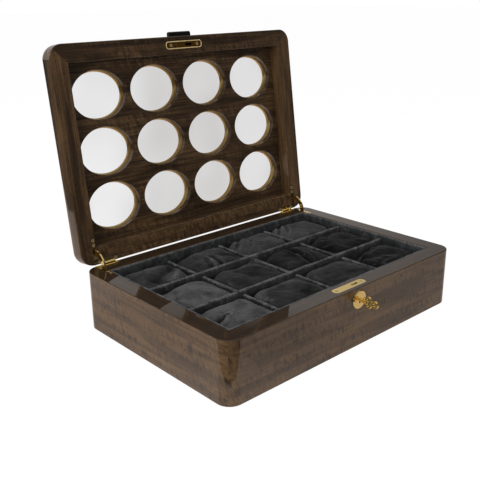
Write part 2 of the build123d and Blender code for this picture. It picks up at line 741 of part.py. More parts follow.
# ---- Strike plate and lid pull -------------------------------------------------------------------
strike = Pos(0, lock_y, lid_under) * extrude(
    RectangleRounded(strike_length, strike_width, strike_corner), strike_thickness
)
rise = lid_under - hook_z
slot_x0 = hook_x + (hook_inner**2 - (rise + strike_thickness) ** 2) ** 0.5 - 2 * slide_gap
slot_x1 = hook_x + (hook_outer**2 - rise**2) ** 0.5 + 2 * slide_gap
strike = strike - block(slot_x0, slot_x1, lock_y - slot_width / 2, lock_y + slot_width / 2,
                        lid_under - 1.0, lid_under + strike_thickness + 1.0)
strike_screws = []
for x in plate_screw_xs:
    place = Pos(x, lock_y, lid_under)
    strike = strike - place * wood_screw(
        screw_head, screw_shank, screw_length, seat_gap
    ).rotate(Axis.X, 180)
    strike_screws.append(opened(place * slotted_screw(
        screw_head, screw_shank, screw_length
    ).rotate(Axis.X, 180)))
save("strike_plate", opened(strike), BRASS)
save("strike_screws", strike_screws, BRASS)

pull = block(-pull_length / 2, pull_length / 2, -half_depth - pull_proud, -half_depth,
             pull_z - pull_thickness / 2, pull_z + pull_thickness / 2)
pull = fillet(pull.edges().filter_by(Axis.Z).group_by(Axis.Y)[0], pull_round * 1.4)
pull = fillet(pull.faces().sort_by(Axis.Y)[0].edges(), pull_round)
pull = pull + block(-tongue_length / 2, tongue_length / 2, -half_depth - 1.0, -half_depth + tongue_depth,
                    pull_z - tongue_thickness / 2, pull_z + tongue_thickness / 2)
save("lid_pull", opened(pull), HORN)
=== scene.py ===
# %% [markdown]
# A watch display box
#
# The box is lacquered walnut: a case with twelve cushioned cells, and a lid that stands open on
# brass quadrant hinges and has twelve oval windows in it.  The wood, the metal and the glass
# arrive as finished solids, because parts that have to fit and move are best made by a solid
# modeller.  This lesson gives each of them its finish, models the soft goods, which a solid
# modeller can't do well, and lights the whole.

# %% Load the solids
import math

import bmesh
import bpy
from mathutils import Matrix, Vector, noise


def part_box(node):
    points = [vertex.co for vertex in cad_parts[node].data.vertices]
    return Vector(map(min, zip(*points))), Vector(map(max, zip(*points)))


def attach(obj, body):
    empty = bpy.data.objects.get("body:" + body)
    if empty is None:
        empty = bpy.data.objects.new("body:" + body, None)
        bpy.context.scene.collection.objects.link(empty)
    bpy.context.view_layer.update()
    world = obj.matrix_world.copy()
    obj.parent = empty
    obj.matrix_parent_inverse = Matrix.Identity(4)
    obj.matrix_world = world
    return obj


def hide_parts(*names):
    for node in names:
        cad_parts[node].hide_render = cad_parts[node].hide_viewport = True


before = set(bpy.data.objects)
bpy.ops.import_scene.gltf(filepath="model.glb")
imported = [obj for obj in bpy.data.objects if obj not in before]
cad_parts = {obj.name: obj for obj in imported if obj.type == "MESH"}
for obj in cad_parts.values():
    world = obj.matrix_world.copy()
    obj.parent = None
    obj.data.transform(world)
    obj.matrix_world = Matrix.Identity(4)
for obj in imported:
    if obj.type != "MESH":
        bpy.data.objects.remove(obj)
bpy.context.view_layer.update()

# %% [markdown]
# The camera
#
# It stands in front of the left corner and looks down a little, as someone would who has just
# opened the lid.  A short lens close by would make the near corner swell, and a very long one
# would make the box look flat, so it is a 53 mm lens on a 36 mm sensor.  The camera's turn is
# built from three directions, because a slight lean of the horizon is hard to read from angles.

# %% Camera
LENS_MM = 53.44
SENSOR_MM = 36.0
NEAREST, FARTHEST = 0.01, 50.0
EYE = (-0.56346, -0.56777, 0.37722)
YAW = math.radians(41.90)
PITCH = math.radians(-19.42)
LEAN = -0.0128

camera_data = bpy.data.cameras.new("camera")
camera_data.lens = LENS_MM
camera_data.sensor_width = SENSOR_MM
camera_data.clip_start, camera_data.clip_end = NEAREST, FARTHEST
camera = bpy.data.objects.new("camera", camera_data)
bpy.context.collection.objects.link(camera)
bpy.context.scene.camera = camera
bpy.context.scene.view_settings.view_transform = "Standard"

forward = Vector((math.sin(YAW) * math.cos(PITCH), math.cos(YAW) * math.cos(PITCH),
                  math.sin(PITCH)))
level = forward.cross(Vector((0, 0, 1))).normalized()
upward = level.cross(forward)
right = level * math.cos(LEAN) + upward * math.sin(LEAN)
above = upward * math.cos(LEAN) - level * math.sin(LEAN)
turn = Matrix((right, above, -forward)).transposed()
camera.matrix_world = Matrix.Translation(EYE) @ turn.to_4x4()
print("camera at", EYE, "with a lens of", LENS_MM, "mm")


# %% [markdown]
# A small language for materials
#
# Every finish here is worked out from a few patterns: grain, ripple, nap, hairline scratches.
# Each could be wired by hand in the shader editor, but twenty Math nodes are hard to read.
# Written as ordinary arithmetic they stay readable, so one class wraps a socket and lets
# Python's own operators add the Math nodes.

# %% Sockets that can be added and multiplied
class Signal:
    """A number or a colour that changes over a surface, as it leaves a node's socket."""

    def __init__(self, nodes, socket):
        self.nodes = nodes
        self.socket = socket

    def _maths(self, operation, *values, clamp=False):
        return self.nodes.node("ShaderNodeMath", {"operation": operation, "use_clamp": clamp},
                               dict(enumerate(values)))

    def __add__(self, other):
        return self._maths("ADD", self, other)

    def __sub__(self, other):
        return self._maths("SUBTRACT", self, other)

    def __rsub__(self, other):
        return self._maths("SUBTRACT", other, self)

    def __mul__(self, other):
        return self._maths("MULTIPLY", self, other)

    __radd__ = __add__
    __rmul__ = __mul__

    def __abs__(self):
        return self._maths("ABSOLUTE", self)

    def power(self, exponent):
        return self._maths("POWER", self, exponent)

    def larger(self, other):
        """Whichever of two signals is the larger."""
        return self._maths("MAXIMUM", self, other)

    def clamp(self):
        """Held between 0 and 1."""
        return self._maths("ADD", self, 0.0, clamp=True)

    def between(self, low, high):
        """0 below low, 1 above high, and smooth in the middle."""
        return self.nodes.node("ShaderNodeMapRange", {"interpolation_type": "SMOOTHSTEP"},
                               {"Value": self, "From Min": low, "From Max": high})


print("maths on sockets: + - * abs power larger clamp between")


# %% [markdown]
# Adding whole nodes
#
# A material and a room are both trees of nodes.  One class holds what they share: a way to add
# any node in one line, with its settings and its sockets, and names for the few kinds that are
# wanted often.

# %% Node trees
class Nodes:
    """A node tree, and short ways to add to it."""

    def __init__(self, tree, output):
        self.tree = tree
        tree.nodes.clear()
        self.output = tree.nodes.new(output)

    def feed(self, target, value):
        """Link a signal to a socket, or set the socket to a plain value."""
        if isinstance(value, Signal):
            self.tree.links.new(value.socket, target)
        else:
            target.default_value = value

    def node(self, kind, settings=None, values=None, output=0):
        """Add a node: its settings first, then the values or links of its sockets."""
        made = self.tree.nodes.new(kind)
        for name, setting in (settings or {}).items():
            if name == "stops":
                ramp = made.color_ramp
                while len(ramp.elements) < len(setting):
                    ramp.elements.new(0.5)
                for element, (place, tint) in zip(ramp.elements, setting):
                    element.position = place
                    element.color = tint
            else:
                setattr(made, name, setting)
        for name, value in (values or {}).items():
            self.feed(made.inputs[name], value)
        return Signal(self, made.outputs[output])

    def axis(self, vector, name):
        """One axis of a vector, "X", "Y" or "Z"."""
        return self.node("ShaderNodeSeparateXYZ", {}, {"Vector": vector}, output=name)

    def mapped(self, vector, turn=(0, 0, 0), stretch=(1, 1, 1), shift=(0, 0, 0)):
        """Coordinates turned, stretched and moved."""
        return self.node("ShaderNodeMapping", {}, {"Vector": vector, "Rotation": turn,
                                                   "Scale": stretch, "Location": shift})

    def mix(self, factor, first, second):
        """Blend two colours, on the colour sockets of the Mix node."""
        return self.node("ShaderNodeMix", {"data_type": "RGBA"},
                         {0: factor, 6: first, 7: second}, output=2)

    def mix_shaders(self, factor, first, second):
        return self.node("ShaderNodeMixShader", {}, {0: factor, 1: first, 2: second})

    def ray(self, kind):
        """1 for one kind of ray and 0 for the others."""
        return self.node("ShaderNodeLightPath", output=f"Is {kind} Ray")

    def show(self, shader):
        """Make this shader what the tree puts out."""
        self.tree.links.new(shader.socket, self.output.inputs["Surface"])


print("a tree of nodes knows", ", ".join(name for name in vars(Nodes) if name[0] != "_"))


# %% [markdown]
# A finish is a material, and it adds what only a surface has: the Principled shader, and
# patterns that stay fixed to the piece.  They read Object coordinates.  Every piece stands at
# the origin, so these are the same for all, and grain runs on from one rail to the next.

# %% Finishes
class Finish(Nodes):
    """A material built round the Principled shader."""

    def __init__(self, name):
        self.material = bpy.data.materials.new(name)
        self.material.use_nodes = True
        super().__init__(self.material.node_tree, "ShaderNodeOutputMaterial")
        self.shader = self.node("ShaderNodeBsdfPrincipled")
        self.show(self.shader)

    def set(self, **sockets):
        """Set the shader's sockets: Base_Color is the one that is called Base Color."""
        for name, value in sockets.items():
            self.feed(self.shader.socket.node.inputs[name.replace("_", " ")], value)

    def place(self, turn=(0, 0, 0), stretch=(1, 1, 1), shift=(0, 0, 0)):
        """The piece's own coordinates, in metres, turned, stretched and moved."""
        here = self.node("ShaderNodeTexCoord", output="Object")
        return self.mapped(here, turn, stretch, shift)

    def noise(self, place, size, detail=3.0, rough=0.5, warp=0.0):
        """Cloudy noise: size is the number of clouds per metre."""
        return self.node("ShaderNodeTexNoise", {"noise_dimensions": "3D"},
                         {"Vector": place, "Scale": size, "Detail": detail, "Roughness": rough,
                          "Distortion": warp})

    def bump(self, height, strength, depth):
        return self.node("ShaderNodeBump", {}, {"Height": height, "Strength": strength,
                                                "Distance": depth})


def colour(red, green, blue):
    """A colour as an eye reads it, 0 to 255, as the linear values that light needs."""
    def linear(value):
        value /= 255.0
        return value / 12.92 if value <= 0.04045 else ((value + 0.055) / 1.055) ** 2.4
    return (linear(red), linear(green), linear(blue), 1.0)


BLACK = colour(0, 0, 0)
WHITE = colour(255, 255, 255)
print("mid grey as light:", round(colour(128, 128, 128)[0], 3))

# %% [markdown]
# Lacquered walnut
#
# The case is veneered with figured walnut.  Long dark streaks run with the grain, and the
# fibres wave up and down, which shows as a ripple across it, with short dark flecks in rows.
# An image of veneer would show those too, but it has one size and repeats.  Here each mark is
# a noise that is stretched along the grain, or across it at a slight slant, at its own size in
# metres, and together they say how light the wood is.

# %% Marks in the wood
LID_TURN = math.radians(97.6)
QUARTER = math.radians(90)
SLANT = (0, math.radians(14), math.radians(14))
# Each mark's length and width in metres; strokes and flecks lie across the grain.
BAND, LINE, PORE = (0.16, 0.0105), (0.06, 0.0014), (0.006, 0.0009)
CLOUD, PATCH, FLECK_ROW = (0.10, 0.04), (0.05, 0.02), (0.07, 0.009)
STROKE, FLECK = (0.0100, 0.0034), (0.0105, 0.0034)
STREAK_DEPTH, STROKE_IN_STREAK, PORE_DEPTH, CLOUD_DEPTH = 0.30, 0.10, 0.16, 0.40


class Grain:
    """The marks of one leaf of veneer, whose grain runs along "x" or "y"."""

    def __init__(self, finish, along, on_lid, shift):
        self.finish = finish
        flat = finish.place(turn=(LID_TURN if on_lid else 0, 0, 0), shift=shift)
        self.with_grain = finish.mapped(flat, turn=(0, 0, QUARTER if along == "y" else 0))
        self.slanted = finish.mapped(self.with_grain, turn=SLANT)
        self.line = self.mark(LINE, 2.0, 0.6, 0.1).between(0.3, 0.7)

    def mark(self, size, detail=1.0, rough=0.5, warp=0.0):
        length, width = size
        place = self.finish.mapped(self.with_grain, stretch=(1 / length, 1 / width, 1 / width))
        return self.finish.noise(place, 1.0, detail, rough, warp)

    def cross_mark(self, size, detail, rough, warp):
        length, width = size
        place = self.finish.mapped(self.slanted, stretch=(1 / width, 1 / length, 1 / length))
        return self.finish.noise(place, 1.0, detail, rough, warp)

    def tone(self, shade, ripple, lines, flecks):
        """How light the wood is, from 0 to 1."""
        band = self.mark(BAND, 2.0, 0.5, 0.5)
        stroke = self.cross_mark(STROKE, 2.0, 0.5, 0.4).between(0.37, 0.63)
        pore = self.mark(PORE, 2.0, 0.6).between(0.3, 0.7)
        cloud = self.mark(CLOUD)
        patchy = self.mark(PATCH).between(0.35, 0.65)
        streak = (band + (stroke - 0.5) * STROKE_IN_STREAK).between(0.45, 0.63)
        tone = shade - streak * STREAK_DEPTH + (stroke - 0.5) * ripple * (patchy * 0.8 + 0.6)
        tone = tone + (self.line - 0.5) * lines
        tone = tone + (pore - 0.5) * PORE_DEPTH + (cloud - 0.5) * CLOUD_DEPTH
        if flecks:
            fleck = self.cross_mark(FLECK, 1.0, 0.5, 0.5).between(0.50, 0.68)
            in_rows = self.mark(FLECK_ROW).between(0.42, 0.60)
            tone = tone - fleck * (in_rows * 0.8 + 0.2) * flecks
        return tone


print("the longest mark is", BAND[0], "m and the shortest", PORE[0], "m")

# %% [markdown]
# A thick clear lacquer lies over the wood.  A glossy shader would make the wood itself shine,
# but here the wood stays dull and the lacquer reflects like a mirror, so it is the shader's
# coat.  The rim is edged with nearly black wood, which starts just below the case's top.

# %% Walnut veneer
WOODS = ((0.00, colour(33, 24, 16)), (0.35, colour(57, 42, 27)),
         (0.65, colour(82, 61, 39)), (1.00, colour(110, 84, 54)))
EDGING_DARK, EDGING_LIGHT = colour(28, 19, 11), colour(54, 38, 23)
EDGING_FROM, EDGING_TO = 0.0006, 0.0001
WOOD_ROUGHNESS, WOOD_GLOSS = 0.55, 0.2
LACQUER, LACQUER_ROUGHNESS, LACQUER_IOR = 1.0, 0.012, 1.5


def walnut(name, along, shade, ripple, lines, flecks=0.0, on_lid=False, shift=(0, 0, 0),
           rim=None):
    """Lacquered veneer; a leaf on the lid has its pattern turned with the lid.

    shade is how light the leaf is, and ripple, lines and flecks are how strongly its cross
    ripple, its long lines and its short cross flecks show.  rim is the height of the dark rim.
    """
    finish = Finish(name)
    grain = Grain(finish, along, on_lid, shift)
    tone = grain.tone(shade, ripple, lines, flecks)
    wood = finish.node("ShaderNodeValToRGB", {"stops": WOODS}, {"Fac": tone})
    if rim is not None:
        height = finish.axis(finish.place(), "Z")
        on_rim = height.between(rim - EDGING_FROM, rim - EDGING_TO)
        wood = finish.mix(on_rim, wood, finish.mix(grain.line, EDGING_DARK, EDGING_LIGHT))
    finish.set(Base_Color=wood, Roughness=WOOD_ROUGHNESS, Specular_IOR_Level=WOOD_GLOSS)
    finish.set(Coat_Weight=LACQUER, Coat_Roughness=LACQUER_ROUGHNESS, Coat_IOR=LACQUER_IOR)
    return finish.material


rim_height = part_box("case_front")[1][2]
walnut_x = walnut("walnut_along_x", "x", 0.72, ripple=0.12, lines=0.12, flecks=0.40,
                  rim=rim_height)
walnut_y = walnut("walnut_along_y", "y", 0.74, ripple=0.12, lines=0.10, flecks=0.40,
                  shift=(0.3, 0.1, 0.0), rim=rim_height)
walnut_lid_top = walnut("walnut_lid_top", "x", 0.50, ripple=0.30, lines=0.22, on_lid=True,
                        shift=(0.2, 0.5, 0.4))
walnut_lid_foot = walnut("walnut_lid_foot", "x", 0.72, ripple=0.42, lines=0.22, on_lid=True,
                         shift=(0.7, 0.2, 0.4))
# The left rail is darker than the right one: partly each leaf's own tone, partly painted shade and
# light, matched to the left rail's inner wall in shade and the right one's lit.
walnut_lid_left = walnut("walnut_lid_left", "y", 0.60, ripple=0.10, lines=0.42, on_lid=True,
                         shift=(0.1, 0.6, 0.2))
walnut_lid_right = walnut("walnut_lid_right", "y", 0.72, ripple=0.10, lines=0.42, on_lid=True,
                          shift=(0.4, 0.6, 0.2))
walnut_panel = walnut("walnut_panel", "x", 0.50, ripple=0.26, lines=0.50, on_lid=True,
                      shift=(0.15, 0.4, 0.8))
print("the dark edging ends at", round(rim_height * 1000, 1), "mm")

# %% [markdown]
# Brass and steel
#
# The hinges, the lock and the window rings are polished brass.  A flat yellow would look like
# plastic.  Metal has no colour of its own but tints what it reflects, so these are fully
# metallic, with a roughness that varies a little, as hand polishing leaves it, and hairlines
# as bump.  The key, the screws and the strike plate are less bare: part of each is a dull
# lacquer that scatters light, which keeps such small pieces from turning black or white.

# %% Metals
SMEARS, HAIRS = 90.0, 400.0
HAIR_STRETCH = (1, 1, 14)
HAIR_STRENGTH, HAIR_DEPTH = 0.05, 0.0001


def metal(name, tint, roughness, grit, bare=1.0):
    """A polished metal; the rest of bare is a lacquer that scatters some light."""
    finish = Finish(name)
    smear = finish.noise(finish.place(), SMEARS, 3.0, 0.6)
    hair = finish.noise(finish.place(stretch=HAIR_STRETCH), HAIRS, 2.0)
    finish.set(Base_Color=tint, Metallic=bare, Roughness=smear * grit + roughness,
               Normal=finish.bump(hair, HAIR_STRENGTH, HAIR_DEPTH))
    return finish.material


brass = metal("polished_brass", colour(248, 224, 150), 0.02, 0.08)
key_brass = metal("key_brass", colour(255, 222, 132), 0.05, 0.10, bare=0.93)
strike_brass = metal("strike_brass", colour(170, 122, 52), 0.20, 0.10, bare=0.93)
bead_brass = metal("bead_brass", colour(255, 228, 168), 0.30, 0.10, bare=0.40)
screw_brass = metal("screw_brass", colour(226, 202, 150), 0.16, 0.14, bare=0.75)
satin_brass = metal("satin_brass", colour(214, 184, 120), 0.34, 0.10)
steel = metal("lock_steel", colour(176, 178, 182), 0.22, 0.12)
print("metals:", ", ".join(each.name for each in (brass, key_brass, strike_brass, bead_brass,
                                                  screw_brass, satin_brass, steel)))

# %% [markdown]
# Black pull tab and plywood
#
# The lid's pull tab stands for polished brass that mirrors dark surroundings, so it is given a
# black finish with a soft shine: painted shade and painted reflection.  The bottom board is
# plywood.  Both are small or hidden, so one noise each is enough: one that breaks up the
# shine, and one that is stretched into pale grain.

# %% Pull tab and plywood
# A black finish standing for polished brass in the dark: painted shade and painted reflection.
PULL_PAINTED_BLACK, PULL_SHINE_GRAIN = (0.004, 0.004, 0.004, 1), 300.0
PLY_STRETCH = (6, 90, 90)

black_pull = Finish("black_pull_tab")
black_pull.set(Base_Color=PULL_PAINTED_BLACK, Coat_Weight=0.5, Coat_Roughness=0.05,
         Roughness=black_pull.noise(black_pull.place(), PULL_SHINE_GRAIN) * 0.1 + 0.25)

ply = Finish("plywood")
ply_grain = ply.noise(ply.place(stretch=PLY_STRETCH), 1.0)
ply.set(Base_Color=ply.mix(ply_grain, colour(150, 118, 78), colour(196, 164, 118)),
        Roughness=0.7)
print("small finishes:", black_pull.material.name, ply.material.name)

# %% [markdown]
# Window glass
#
# A flat pane hardly bends light.  A real glass shader would, and it would be slow and noisy
# for nothing, so the pane is made of a straight-through part and a mirror part whose share
# grows at a glancing angle.  The straight-through part is a mix of clear glass and a grey veil,
# thin at the lid's left, thickest in its middle, and blotchy: painted shade and painted
# reflection in the panes.  Places across the lid are in metres from its middle.

# %% Glass
CLEAR, VEIL = (0.935, 0.935, 0.94, 1), (0.50, 0.475, 0.45, 1)
BLOTCHES = 11.0
PANE_SHADE_RISES, PANE_SHADE_FALLS = (-0.12, -0.02), (0.06, 0.11)
PANE_SHADE_MIDDLE, PANE_SHADE_LESS_RIGHT, PANE_SHADE_BLOTCHES = 0.20, 0.08, 0.14
MIRROR_LEAST, MIRROR_MORE, MIRROR_RISE = 0.02, 0.5, 5.0

glass = Finish("window_glass")
clear = glass.node("ShaderNodeBsdfTransparent", {}, {"Color": CLEAR})
veil = glass.node("ShaderNodeBsdfTransparent", {}, {"Color": VEIL})
mirror = glass.node("ShaderNodeBsdfGlossy", {}, {"Color": WHITE, "Roughness": 0.0})
on_lid = glass.place(turn=(LID_TURN, 0, 0), shift=(0.37, 0.11, 0.0))
blotch = glass.noise(on_lid, BLOTCHES, 1.0, 0.4, 0.2)
from_left = glass.axis(glass.place(), "X")
# Painted shade and painted reflection in the panes: thin at the left, thickest in the middle,
# blotchy.
painted_pane_shade = from_left.between(*PANE_SHADE_RISES) * PANE_SHADE_MIDDLE - from_left.between(*PANE_SHADE_FALLS) * PANE_SHADE_LESS_RIGHT
painted_pane_shade = painted_pane_shade + blotch.between(0.30, 0.80) * PANE_SHADE_BLOTCHES
glancing = glass.node("ShaderNodeLayerWeight", {}, {"Blend": 0.5}, output="Facing")
mirrored = glancing.power(MIRROR_RISE) * MIRROR_MORE + MIRROR_LEAST
glass.show(glass.mix_shaders(mirrored, glass.mix_shaders(painted_pane_shade, clear, veil), mirror))
glass.tree.nodes.remove(glass.shader.socket.node)
print("glass nodes", len(glass.tree.nodes))

# %% [markdown]
# Suede
#
# The lining is a grey suede with a short nap.  Brushed one way it is light and the other way
# dark, which shows as soft cloudy patches, and its fibres catch light at the rim, which the
# shader's sheen is for.  The grey is chosen by noises at the size of patches and of tufts, by
# how much the surface curves outwards, which paints shade into hollows and light onto rounded
# edges, by painted light on the tops above a given height, and by an attribute with which each
# cushion carries painted shade in its folds, painted highlight on its ridges, and brushed nap.

# %% Napped suede
TUFTS, PILE = 500.0, 2600.0
PATCH_SHADE, TUFT_SHADE, CURVE_SHADE, NAP_AND_SHADE_WEIGHT, BASE_SHADE = 0.75, 1.4, 0.8, 0.85, 0.22
PAINTED_LIGHT_DEPTH, PAINTED_LIGHT_STRENGTH = 0.0015, 1.1
PAINTED_LIGHT_GREY = colour(100, 101, 102)
PILE_BUMP, TUFT_BUMP, BUMP_STRENGTH, BUMP_DEPTH = 0.4, 0.8, 0.5, 0.0010


def suede(name, dark, light, patches, shift=(0, 0, 0), painted_light_from=None):
    """Napped suede, painted lighter on its top above a given height: painted light."""
    finish = Finish(name)
    here = finish.place(shift=shift)
    patch = finish.noise(here, patches, 3.0, 0.5, 0.8).between(0.32, 0.68)
    tuft = finish.noise(here, TUFTS, 3.0, 0.65)
    pile = finish.noise(here, PILE, 2.0, 0.7)
    # Pointiness paints shade into hollows and light onto rounded edges: painted shade and painted
    # highlight.
    curve = finish.node("ShaderNodeNewGeometry", output="Pointiness").between(0.47, 0.53)
    # Per-point attribute: painted shade in folds, painted highlight on ridges, and brushed nap.
    nap = finish.node("ShaderNodeAttribute", {"attribute_name": "nap"}, output="Fac")
    mark = patch * PATCH_SHADE + (tuft - 0.5) * TUFT_SHADE + curve * CURVE_SHADE
    mark = mark - BASE_SHADE + nap * NAP_AND_SHADE_WEIGHT
    # Painted light: above the given height the top is painted lighter, in tufts.
    if painted_light_from is not None:
        height = finish.axis(finish.place(), "Z")
        worn = height.between(painted_light_from, painted_light_from + PAINTED_LIGHT_DEPTH)
        mark = mark + worn * (tuft * PAINTED_LIGHT_STRENGTH)
    grey = finish.node("ShaderNodeValToRGB", {
        "stops": ((0.0, dark), (0.5, light), (1.0, PAINTED_LIGHT_GREY))}, {"Fac": mark * 0.5})
    finish.set(Base_Color=grey, Roughness=0.95, Specular_IOR_Level=0.1,
               Sheen_Weight=0.10, Sheen_Roughness=0.4, Sheen_Tint=WHITE,
               Normal=finish.bump(pile * PILE_BUMP + tuft * TUFT_BUMP, BUMP_STRENGTH,
                                  BUMP_DEPTH))
    return finish.material


print("suede has", TUFTS, "tufts and", PILE, "fibres to the metre")

# %% [markdown]
# One grey would make the tray look flat.  The lining has three, for the three heights its tops
# stand at: darker the lower they stand, which is painted shade, and painted lighter at each top,
# which is painted light.  The cushions have six, lit and shaded copies of one suede, which is
# painted light and sheen, from pale ones at the left front corner to nearly black ones at the
# right, each with its patches in other places.

# %% Greys of suede
LINING_PATCHES, CUSHION_PATCHES, FELT_PATCHES = 90.0, 35.0, 60.0


def cushion_suede(name, dark, light, shift=(0, 0, 0)):
    return suede("cushion_suede" + name, colour(*dark), colour(*light), CUSHION_PATCHES, shift)


# Three greys, darker the lower the tops stand: painted shade; each top is painted lighter: painted
# light.
lining_suede = suede("lining_suede", colour(26, 26, 26), colour(60, 61, 62), LINING_PATCHES,
                     painted_light_from=0.0685)
long_suede = suede("divider_suede", colour(27, 27, 27), colour(53, 53, 53), LINING_PATCHES,
                   painted_light_from=0.0655)
cross_suede = suede("cross_suede", colour(22, 22, 22), colour(46, 46, 46), LINING_PATCHES,
                    painted_light_from=0.0605)
# Lit and shaded copies of one suede, pale at the left front and dark at the right: painted light
# and sheen.
pale_suede = cushion_suede("_pale", (46, 46, 46), (86, 85, 86))
darkest_suede = cushion_suede("_darkest", (4, 4, 4), (19, 18, 18), (7, 3, 3))
dusk_suede = cushion_suede("_dusk", (8, 8, 8), (30, 29, 29), (4, 6, 3))
far_suede = cushion_suede("_far", (33, 33, 33), (66, 65, 66), (2, 4, 1))
middle_suede = cushion_suede("_middle", (23, 22, 22), (60, 59, 59), (3, 1, 2))
deep_suede = cushion_suede("_deep", (15, 15, 15), (49, 48, 48), (5, 2, 7))
under_felt = suede("under_felt", colour(30, 30, 31), colour(44, 44, 46), FELT_PATCHES)
print("materials so far", len(bpy.data.materials))

# %% [markdown]
# Finishes for the solids
#
# The solids keep their shapes, which fit each other already, and only get new materials in
# their own slots.  A table from each solid's name to its finish is easier to check than a
# line of code for each.  What it doesn't name is brass.

# %% Give the solids their finishes
solid_finishes = {
    walnut_x: ["case_front", "case_back"],
    walnut_y: ["case_left", "case_right"],
    walnut_lid_top: ["lid_front"],
    walnut_lid_foot: ["lid_back"],
    walnut_lid_left: ["lid_left"],
    walnut_lid_right: ["lid_right"],
    walnut_panel: ["lid_panel"],
    ply.material: ["case_bottom"],
    under_felt: ["base_felt"],
    glass.material: ["window_panes"],
    black_pull.material: ["lid_pull"],
    satin_brass: ["window_rings"],
    screw_brass: ["lock_screws", "escutcheon_pins", "strike_screws", "lid_hinge_screws",
                  "base_hinge_screws"],
    key_brass: ["key"],
    strike_brass: ["strike_plate"],
    steel: ["hook_pivot", "hook_bolt", "key_follower", "lock_spring"],
}
finish_of = {name: finish for finish, names in solid_finishes.items() for name in names}
for name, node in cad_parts.items():
    soft = name.startswith(("liner", "divider", "cushion"))
    node.data.materials.clear()
    node.data.materials.append(lining_suede if soft else finish_of.get(name, brass))
print("finished", len(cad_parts), "solids,", len(finish_of), "of them by name")

# %% [markdown]
# Blocks to shape
#
# The soft pieces all start as plain blocks, and the operators of bmesh shape them.  A block
# has too few points to bend, so it is cut into short stations, and a slow noise then moves
# the points, because nothing that is sewn or wrapped by hand lies quite flat.

# %% Blocks, stations and a slow noise
def new_piece(name, shape):
    """Turn a finished bmesh into an object at the origin."""
    mesh = bpy.data.meshes.new(name)
    shape.to_mesh(mesh)
    shape.free()
    piece = bpy.data.objects.new(name, mesh)
    bpy.context.collection.objects.link(piece)
    for face in mesh.polygons:
        face.use_smooth = True
    return piece


def block(low, high):
    """A plain block between two corners, for the operators to shape."""
    shape = bmesh.new()
    bmesh.ops.create_cube(shape, size=1.0)
    bmesh.ops.scale(shape, vec=high - low, verts=shape.verts)
    bmesh.ops.translate(shape, vec=(low + high) / 2, verts=shape.verts)
    return shape


def cut_stations(shape, axis, low, high, step):
    """Slice a shape across one axis, so that it has points to move."""
    count = max(1, round((high - low) / step))
    normal = Vector((0, 0, 0))
    normal[axis] = 1
    for station in range(1, count):
        spot = normal * (low + (high - low) * station / count)
        geometry = shape.verts[:] + shape.edges[:] + shape.faces[:]
        bmesh.ops.bisect_plane(shape, geom=geometry, plane_co=spot, plane_no=normal, dist=1e-6)


def slow_noise(spot, size, seed):
    """A slow noise between about -1 and 1."""
    return noise.noise(Vector(spot) * size + Vector((seed, 2.3 * seed, 5.1 * seed)))


print("slow noise at the origin", round(slow_noise((0, 0, 0), 1, 0.5), 3))

# %% [markdown]
# The soft lining
#
# The dividers, the lining of the walls and the floor are boards wrapped in suede.  A sheet
# laid over them would need cuts at every joint, and what shows is only how the wrap rounds
# each edge.  So each is a bevelled block whose faces wave a little.  Along the walls the wrap
# stands proud at the top, where the cloth is turned over.

# %% Boards wrapped in suede
SLACK = Vector((0.0001, 0.0001, 0.0001))
STATION = 0.006
LEAST_TO_CUT = 0.02
TURNED_OVER, LINER_PROUD = 0.002, 0.0009
WAVES, RIPPLES = 45.0, 160.0
DIVIDER_EDGE, LINER_EDGE = 0.0026, 0.0008
DIVIDER_WAVE, LINER_WAVE, FLOOR_WAVE = 0.0005, 0.0002, 0.0003
LINER_SEED, FLOOR_SEED = 7, 12


def wrapped_board(node, wrap, edge, wave, seed, proud=0.0):
    """A board whose edges are rounded by edge, and whose wrap waves in and out by wave."""
    low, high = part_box(node)
    shape = block(low + SLACK, high - SLACK)
    bmesh.ops.bevel(shape, geom=shape.edges[:], offset=edge, segments=3, profile=0.5,
                    affect="EDGES", material=-1)
    for axis in range(3):
        if high[axis] - low[axis] > LEAST_TO_CUT:
            cut_stations(shape, axis, low[axis] + edge, high[axis] - edge, STATION)
    for point in shape.verts:
        loose = slow_noise(point.co, WAVES, seed) + 0.5 * slow_noise(point.co, RIPPLES, seed)
        point.co += point.normal * wave * (loose - 0.5)
        if point.co.z > high.z - TURNED_OVER:
            point.co.z += proud
    piece = new_piece("wrapped_" + node, shape)
    piece.data.materials.append(wrap)
    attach(piece, "case")
    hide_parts(node)
    return piece


dividers = [(f"divider_long_{n}", long_suede) for n in (1, 2)]
dividers += [(f"divider_cross_{n}", cross_suede) for n in (1, 2, 3)]
boards = [wrapped_board(node, wrap, DIVIDER_EDGE, DIVIDER_WAVE, seed)
          for seed, (node, wrap) in enumerate(dividers)]
boards += [wrapped_board("liner_" + side, lining_suede, LINER_EDGE, LINER_WAVE, seed,
                         proud=LINER_PROUD)
           for seed, side in enumerate(("front", "back", "left", "right"), LINER_SEED)]
boards.append(wrapped_board("liner_floor", lining_suede, LINER_EDGE, FLOOR_WAVE, FLOOR_SEED))
print("wrapped boards", len(boards))

# %% [markdown]
# The strike plate
#
# A brass plate in the lid's front rail takes the lock's hook.  It will get a raised rim, which
# has to lie exactly on it.  The lid leans back, so the lid's own directions up and outwards
# are worked out first, and the plate is measured along them.

# %% The plate's place in the lid
PLATE_LIFT = 0.00002

